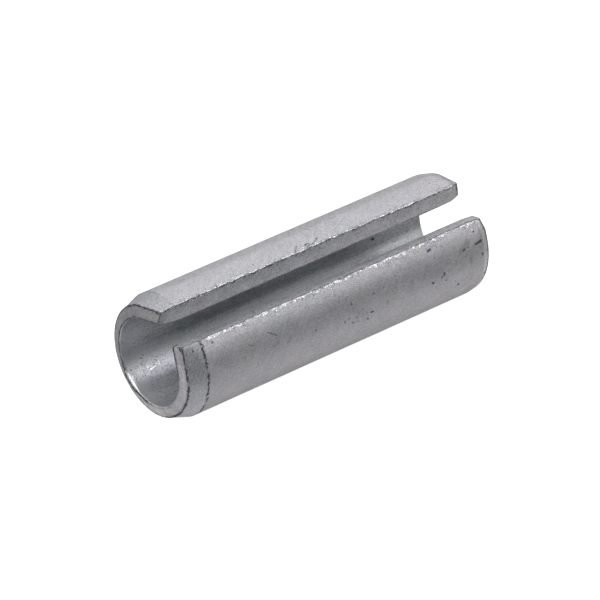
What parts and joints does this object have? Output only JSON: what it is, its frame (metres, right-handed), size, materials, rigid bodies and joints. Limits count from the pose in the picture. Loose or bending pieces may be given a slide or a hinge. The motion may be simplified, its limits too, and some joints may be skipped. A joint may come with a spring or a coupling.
{
  "type": "spring roll pin",
  "caption": "Slotted tubular spring pin rolled from zinc-plated strip, with a V-shaped slot along its length and swaged, tapered ends, for pressing into a drilled hole.",
  "frame": {"origin": "on the pin's axis, halfway between its two ends", "axes": "+X along the pin's axis towards the end with the shorter taper, +Z out through the middle of the slot"},
  "size_m": [0.032, 0.0108, 0.0103],
  "materials": {
    "zinc_plated_steel": "dull zinc plate, finely mottled, with pits and burrs"
  },
  "bodies": {
    "root": {"spring_pin": "zinc_plated_steel"}
  },
  "joints": []
}
